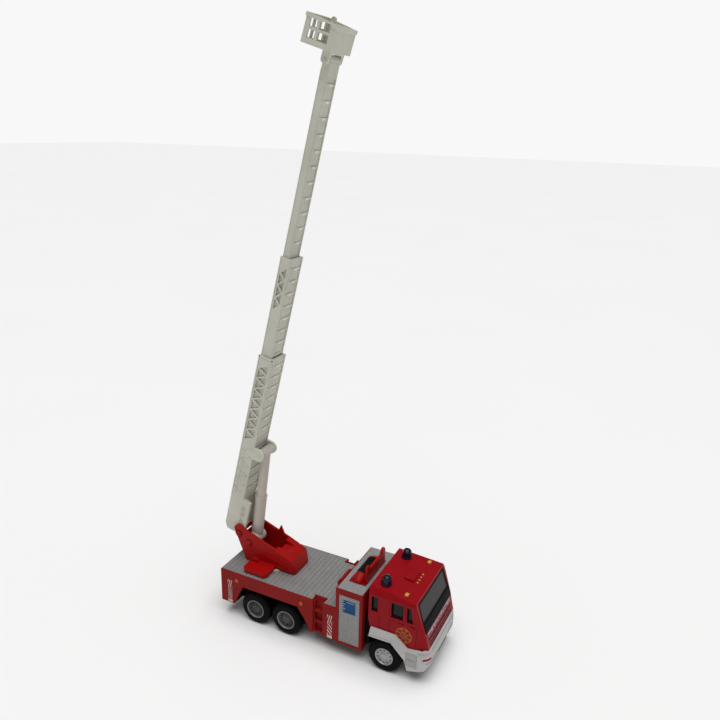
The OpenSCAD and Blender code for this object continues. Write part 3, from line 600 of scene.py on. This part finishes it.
def window_rim(target, wall, outline):
    """A frame set back in the opening, narrower above and below than at the sides."""
    cx = sum(p[0] for p in outline) / 4
    cz = sum(p[1] for p in outline) / 4
    for i in range(4):
        (ax, az), (bx, bz) = outline[i], outline[(i + 1) % 4]
        quad = [(ax, az), (bx, bz),
                (bx + (cx - bx) * 0.13, bz + (cz - bz) * 0.07),
                (ax + (cx - ax) * 0.13, az + (cz - az) * 0.07)]
        target.prism(wall, quad, -0.9, -0.35)


def polar(r, a):
    return (ROSETTE[0] + r * math.cos(a), ROSETTE[1] + r * math.sin(a))


def ring_cell(r0, r1, a0, a1):
    return [polar(r0, a0), polar(r1, a0), polar(r1, a1), polar(r0, a1)]


def rosette(lines, core, wall, petals=8, steps=32):
    """Two rings with rays and small arcs between them, round a plain middle."""
    for i in range(steps):
        a0, a1 = 2 * math.pi * i / steps, 2 * math.pi * (i + 1) / steps
        for r0, r1 in ((4.82, 5.2), (1.95, 2.2)):
            lines.prism(wall, ring_cell(r0, r1, a0, a1), 0.0, 0.06)
    for i in range(petals):
        a = 2 * math.pi * (i + 0.5) / petals
        for reach, half_angle in ((2.9, 0.15), (4.2, 0.24)):
            lines.prism(wall, ring_cell(reach, reach + 0.3, a - half_angle, a + half_angle), 0.0, 0.06)
        lines.prism(wall, [polar(2.2, a - 0.06), polar(4.8, a - 0.03), polar(4.8, a + 0.03),
                           polar(2.2, a + 0.06)], 0.0, 0.055)
    core.disc(wall, *ROSETTE, 1.7, 0.0, 0.05)


seams = Shape("door_seams", seam, "truck")
handles = Shape("door_handles", red_cab, "truck")
emblem_gold = Shape("door_rosette", gold, "truck")
emblem_core = Shape("door_rosette_middle", print_rose, "truck")
window_rims = Shape("window_rims", black, "truck")
for sign in (-1, 1):
    wall = side(sign, CAB_HALF)
    side_seams(seams, wall)
    for x in HANDLES_X:
        handles.prism(wall, [(x - 1.5, 37.2), (x + 1.5, 37.2), (x + 1.3, 38.0), (x - 1.3, 38.0)], 0.0, 0.45)
    seams.rect(wall, 110.0, 139.2, 52.55, 52.75, 0.0, 0.04)
    for outline in WINDOWS:
        window_rim(window_rims, wall, outline)
    rosette(emblem_gold, emblem_core, wall)
for shape in (seams, handles, emblem_gold, emblem_core, window_rims):
    shape.done()

# ---------------------------------------------------------------- cab front and roof

GRILLE_SLOTS = ((24.7, 1.2), (26.6, 0.8), (28.7, 1.1), (30.2, 0.4))     # foot and height
HATCH_FRONT, HATCH_BACK = 21.6, 14.4


def grille_and_screen():
    """Printed grille with dark slots of painted shade, black edges of the windscreen and its pane."""
    speckles = Shape("grille_speckles", grille, "truck")
    speckles.rect(cab_front, -19.6, 19.6, 30.6, 34.5, 0.0, 0.06)
    speckles.rect(cab_front, -19.2, 19.2, 27.9, 28.5, 0.0, 0.06)
    speckles.done()
    # Painted shade: dark bands where the grille's slots lie.
    slots = Shape("grille_slots", grille_dark, "truck")
    for z, tall in GRILLE_SLOTS:
        slots.rect(cab_front, -18.8, 18.8, z, z + tall, 0.0, 0.07)
    slots.done()
    pillars = Shape("screen_edges", black, "truck")
    for sign in (-1, 1):
        pillars.prism(lambda a, b, h, s=sign: screen(s * a, b, h),
                      [(20.4, 40.4), (21.9, 40.4), (21.3, 53.2), (20.2, 53.2)], 0.0, 0.12)
    pillars.rect(screen, -20.6, 20.6, 52.0, 53.2, 0.0, 0.12)
    pillars.done()
    Shape("windscreen", smoke_front, "truck").rect(screen, -20.5, 20.5, 37.2, 52.1, -0.7, -0.35).done()


def step_frame(target, wall, x0, x1, z0, z1):
    """A thin line round a side step."""
    for z in (z0 - 0.15, z1):
        target.rect(wall, x0 - 0.2, x1 + 0.2, z, z + 0.15, 0.0, 0.12)
    for x in (x0 - 0.2, x1):
        target.rect(wall, x, x + 0.15, z0, z1, 0.0, 0.12)


def bumper_marks():
    """Lamps with a painted highlight above each, a slot painted black as shade, steps and seams; s on the
    bumper runs out from the middle of the nose.
    """
    lamps = Shape("headlamps", print_magenta, "truck")
    lamp_glint = Shape("headlamp_glints", white_print_and_glint, "truck")
    slot = Shape("bumper_slot", hole_shade_black, "truck")
    lines = Shape("bumper_seams", seam_grey, "truck")
    steps = Shape("side_steps", step_dots, "truck")
    for sign in (-1, 1):
        wrap = bumper(sign)
        lamps.rect(wrap, 19.6, 26.0, 17.3, 18.6, 0.05, 0.16, 12)
        # Painted highlight: a white streak above each headlamp.
        lamp_glint.rect(wrap, 19.0, 27.0, 18.9, 20.2, 0.05, 0.16, 12)
        # Painted shade: the slot is a black strip, not an opening.
        slot.rect(wrap, 0.0, 7.5, 10.6, CHIN_Z, 0.05, 0.14)
        slot.rect(wrap, 0.0, 7.5, CHIN_Z, 14.0, 0.05, 0.14)
        lines.rect(wrap, 0.0, 28.8, 22.15, 22.35, 0.05, 0.14, 24)
        lines.rect(wrap, 9.0, 24.0, 14.9, 15.2, 0.05, 0.13, 16)
        wall = side(sign, HALF)
        for z0, z1 in ((16.2, 20.2), (11.2, 15.3)):
            steps.rect(wall, 135.9, 142.6, z0, z1, 0.0, 0.08)
            step_frame(lines, wall, 135.9, 142.6, z0, z1)
        lines.rect(wall, 113.2, 126.4, 24.2, 24.35, 0.0, 0.08)
    for shape in (lamps, lamp_glint, slot, lines, steps):
        shape.done()


def roof_hatch():
    hatch = Shape("hatch_seam", seam, "truck")
    for y in (-5.3, 5.5):
        hatch.rect(roof_point, HATCH_BACK + 0.2, HATCH_FRONT, y, y + 0.2, 0.0, 0.05)
    hatch.rect(roof_point, HATCH_BACK, HATCH_BACK + 0.2, -5.3, 5.7, 0.0, 0.05)
    hatch.done()


grille_and_screen()
bumper_marks()
roof_hatch()

# ---------------------------------------------------------------- wheels

# Profiles of the wheel faces: radius, and height off the tyre's outer face
FRONT_FACE = [(6.0, -3.0), (6.0, -0.25), (5.75, 0.0), (5.35, -0.05), (5.15, -0.5), (4.9, -0.72), (3.6, -0.5),
              (3.1, -0.28), (2.9, -0.05), (2.3, 0.12), (2.1, 0.32), (1.5, 0.45), (0.0, 0.48)]
REAR_RIM = [(6.6, -3.6), (6.6, -0.5), (6.4, -0.25), (6.05, -0.25), (5.9, -0.6), (5.75, -1.2)]
REAR_DISH = [(5.8, -1.1), (5.2, -1.9), (4.6, -2.2), (3.3, -1.9), (3.0, -1.6), (2.7, -1.55), (2.5, -1.0),
             (1.5, -0.9), (1.35, -0.5), (0.9, -0.35), (0.0, -0.3)]


def wheel_pair(axle, x, metal, face_rows, dish_rows, holes, nuts):
    """holes: count, their radius, the ring's radius and height; nuts: count, ring's radius and height."""
    body = axle + "_wheels"
    hub = Shape(axle + "_wheel_faces", metal, body, smooth=True)
    dish = Shape(axle + "_wheel_dishes", hub_dark, body, smooth=True)
    hole_marks = Shape(axle + "_wheel_holes", hole_shade_black, body)
    nut_heads = Shape(axle + "_wheel_nuts", metal, body, smooth=True)
    x_mm = (x - REAR) / MM
    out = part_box(axle + "_tyres")[1][1] / MM
    hole_count, hole_r, hole_ring, hole_h = holes
    nut_count, nut_ring, nut_h = nuts
    for sign in (-1, 1):
        face = side(sign, out)
        hub.lathe(face, x_mm, AXLE_Z, face_rows)
        if dish_rows:
            dish.lathe(face, x_mm, AXLE_Z, dish_rows)
        # Painted shade: a black disc stands in for the dark inside of each hole.
        for i in range(hole_count):
            a = 2 * math.pi * (i + 0.5) / hole_count
            hole_marks.disc(face, x_mm + hole_ring * math.cos(a), AXLE_Z + hole_ring * math.sin(a), hole_r,
                            hole_h - 0.3, hole_h + 0.04, 16)
        for i in range(nut_count):
            a = 2 * math.pi * i / nut_count
            nut_heads.disc(face, x_mm + nut_ring * math.cos(a), AXLE_Z + nut_ring * math.sin(a), 0.3,
                           nut_h, nut_h + 0.35, 8, 0.22)
    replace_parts(hub.done(), axle + "_hubs")
    if dish_rows:
        dish.done()
    hole_marks.done()
    nut_heads.done()


wheel_pair("front", front_x, silver, FRONT_FACE, None, (10, 0.50, 4.25, -0.60), (10, 2.6, 0.0))
for axle, x in (("middle", middle_x), ("rear", rear_x)):
    wheel_pair(axle, x, rim_grey, REAR_RIM, REAR_DISH, (10, 0.55, 4.1, -2.05), (8, 2.15, -0.95))

# ---------------------------------------------------------------- turntable relief

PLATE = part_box("hinge_pins")[1][1] / MM - 0.3       # outer face of the plates
RAM_FOOT = (HINGE[0] + 8.3, HINGE[1] - 4.8)
TABLE_X = 25.5
TABLE_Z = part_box("turntable")[0][2] / MM
PIN_HEAD = [(2.2, 0.05), (2.1, 0.45), (1.6, 0.6), (1.3, 0.4), (1.1, 0.65), (0.0, 0.85)]


def turntable_relief():
    """Pin heads in a ring of painted shade, two ribs on each plate and a block over each foot pad."""
    relief = Shape("turntable_relief", red_table, "slewing_base")
    pin_heads = Shape("turntable_pins", red_table, "slewing_base", smooth=True)
    pin_shade_rings = Shape("pin_shadows", seam, "slewing_base")
    low, high = HINGE[1] - 16.4, HINGE[1] - 8.4
    for sign in (-1, 1):
        wall = side(sign, PLATE)
        for x, z in (HINGE, RAM_FOOT):
            # Painted shade: a dark red ring round each pin head, in the seam colour.
            pin_shade_rings.disc(wall, x, z, 2.75, 0.0, 0.06, 32)
            pin_heads.lathe(wall, x, z, PIN_HEAD, 32)
        relief.prism(wall, [(14.0, high), (33.0, high - 3.0), (43.0, low + 2.8), (43.0, low + 1.9),
                            (33.0, high - 4.0), (14.0, high - 1.0)], 0.0, 0.4)
        relief.prism(wall, [(17.0, low + 1.0), (41.0, low + 0.2), (41.0, low - 0.7), (17.0, low)], 0.0, 0.4)
        relief.prism(wall, [(TABLE_X - 9.8, TABLE_Z + 2.7), (TABLE_X - 9.0, TABLE_Z + 4.9),
                            (TABLE_X - 4.6, TABLE_Z + 4.5), (TABLE_X - 3.8, TABLE_Z + 2.7)], -0.1, 3.2)
    for shape in (relief, pin_heads, pin_shade_rings):
        shape.done()


turntable_relief()

# ---------------------------------------------------------------- ladder relief

# Half width of each section, and how far its underside lies from the hinge line
LOWER_HALF, LOWER_UNDER = 7.5, -2.7
MIDDLE_HALF, MIDDLE_UNDER = 6.35, -4.55
TOP_HALF, TOP_UNDER = 5.2, -6.7
# Painted rung highlights: name, body, underside, half width, half height, from, to and pitch up the ladder
RUNG_HIGHLIGHTS = (("lower_rung_highlights", "lower_section", LOWER_UNDER, 2.6, 0.6, 72.0, 131.3, 7.6),
          ("middle_rung_highlights", "middle_section", MIDDLE_UNDER, 2.2, 0.6, 133.0, 195.5, 8.0),
          ("top_rung_highlights", "top_section", TOP_UNDER, 1.7, 0.65, 197.0, 298.9, 8.75))


def lower_relief(relief, wall):
    """Rails, a zigzag above the foot, a row of short bars and three H marks at the hinge."""
    for k0, k1 in ((-12.95, -12.15), (-3.55, -2.75)):
        relief.rect(wall, k0, k1, 26.2, 131.0, 0.0, 0.22)
    for i in range(5):
        s = 29.0 + i * 7.4
        for flip in (0, 1):
            a0, a1 = (-11.8, -4.2) if flip else (-4.2, -11.8)
            s0 = s + flip * 3.7
            relief.prism(wall, [(a0, s0), (a1, s0 + 3.7), (a1, s0 + 4.3), (a0, s0 + 0.6)], 0.0, 0.2)
    for i in range(13):
        relief.rect(wall, -10.0, -9.5, 28.6 + i * 2.7, 30.2 + i * 2.7, 0.0, 0.3)
    for i in range(3):
        s = 7.0 + i * 5.0
        relief.rect(wall, -2.6, -2.1, s, s + 3.6, 0.0, 0.3)
        relief.rect(wall, -1.0, -0.5, s, s + 3.6, 0.0, 0.3)
        relief.rect(wall, -2.6, -0.5, s + 1.5, s + 2.0, 0.0, 0.3)
    relief.rect(wall, -12.95, -2.75, 130.2, 131.2, 0.0, 0.22)


relief_low = Shape("lower_relief", cream, "lower_section")
relief_mid = Shape("middle_relief", cream, "middle_section")
relief_top = Shape("top_relief", cream, "top_section")
for sign in (-1, 1):
    lower_relief(relief_low, ladder_side(sign, LOWER_HALF))
    for k0, k1 in ((-12.2, -11.6), (-5.3, -4.65)):
        relief_mid.rect(ladder_side(sign, MIDDLE_HALF), k0, k1, 133.0, 195.2, 0.0, 0.14)
    for k0, k1 in ((-11.5, -11.0), (-7.35, -6.85)):
        relief_top.rect(ladder_side(sign, TOP_HALF), k0, k1, 197.0, 296.0, 0.0, 0.14)
for shape in (relief_low, relief_mid, relief_top):
    shape.done()

# Painted highlights in the middle of the rungs, on the ladder's underside: lighter cream dashes where the
# rungs' tops would catch the light
for name, body, under, half, tall, s0, s1, pitch in RUNG_HIGHLIGHTS:
    rung_highlights = Shape(name, cream_rung_highlight, body)
    for i in range(int((s1 - s0) / pitch)):
        s = s1 - pitch + 1.5 - i * pitch
        rung_highlights.rect(lambda y, b, h, k=under: ladder(b, k + h, y), -half, half, s - tall, s + tall, 0.0, 0.12)
    rung_highlights.done()

# ---------------------------------------------------------------- stage, lights and camera

REACH = 8                               # half width of the floor, in metres

floor_mesh = bpy.data.meshes.new("floor")
floor_mesh.from_pydata([(-REACH, -REACH, 0), (REACH, -REACH, 0), (REACH, REACH, 0), (-REACH, REACH, 0)],
                       [], [(0, 1, 2, 3)])
floor = bpy.data.objects.new("floor", floor_mesh)
bpy.context.scene.collection.objects.link(floor)
ground = Nodes("pale_floor")
tone = ground.mix(ground.noise(3, 2), (0.90, 0.90, 0.895), (0.93, 0.93, 0.93))
floor_mesh.materials.append(ground.finish(tone, 0.85, None, specular=0.1))

# The world is bright to the camera, as the backdrop, and weak as a light
WORLD_LIGHT, WORLD_SEEN = 0.22, 0.94

world = bpy.data.worlds.new("studio")
world.use_nodes = True
tree = world.node_tree
path = tree.nodes.new("ShaderNodeLightPath")
seen = tree.nodes.new("ShaderNodeMapRange")
seen.inputs["To Min"].default_value = WORLD_LIGHT
seen.inputs["To Max"].default_value = WORLD_SEEN
tree.links.new(path.outputs["Is Camera Ray"], seen.inputs["Value"])
tree.links.new(seen.outputs[0], tree.nodes["Background"].inputs["Strength"])
tree.nodes["Background"].inputs["Color"].default_value = (1.0, 1.0, 1.0, 1.0)
bpy.context.scene.world = world


def softbox(name, place, target, size, watts):
    data = bpy.data.lights.new(name, "AREA")
    data.shape = "RECTANGLE"
    data.size, data.size_y, data.energy = size[0], size[1], watts
    lamp = bpy.data.objects.new(name, data)
    lamp.location = place
    lamp.rotation_euler = (Vector(target) - Vector(place)).to_track_quat("-Z", "Y").to_euler()
    bpy.context.scene.collection.objects.link(lamp)


overhead = bpy.data.lights.new("overhead", "SUN")
overhead.energy = 2.45
overhead.angle = math.radians(60)
overhead_lamp = bpy.data.objects.new("overhead", overhead)
overhead_lamp.rotation_euler = (math.radians(5), math.radians(4), 0)
bpy.context.scene.collection.objects.link(overhead_lamp)
softbox("front_fill", (0.9, -1.2, 0.7), (0, 0, 0.12), (0.7, 0.7), 0.5)

CAMERA_PLACE = (0.1856, -0.3476, 0.3192)

azimuth, elevation, roll = (math.radians(a) for a in (25.87, 18.5, -1.44))
behind = Vector((math.sin(azimuth) * math.cos(elevation), -math.cos(azimuth) * math.cos(elevation),
                 math.sin(elevation)))
ahead = -behind
right = ahead.cross(Vector((0, 0, 1))).normalized()
down = ahead.cross(right)
across = right * math.cos(roll) + down * math.sin(roll)
below = down * math.cos(roll) - right * math.sin(roll)
camera_data = bpy.data.cameras.new("camera")
camera_data.sensor_width = 36.0
camera_data.lens = 35.0
camera_data.clip_start = 0.01
camera = bpy.data.objects.new("camera", camera_data)
turn = Matrix((across, -below, behind)).transposed().to_4x4()
camera.matrix_world = Matrix.Translation(CAMERA_PLACE) @ turn
bpy.context.scene.collection.objects.link(camera)
bpy.context.scene.camera = camera
bpy.context.scene.view_settings.view_transform = "Standard"
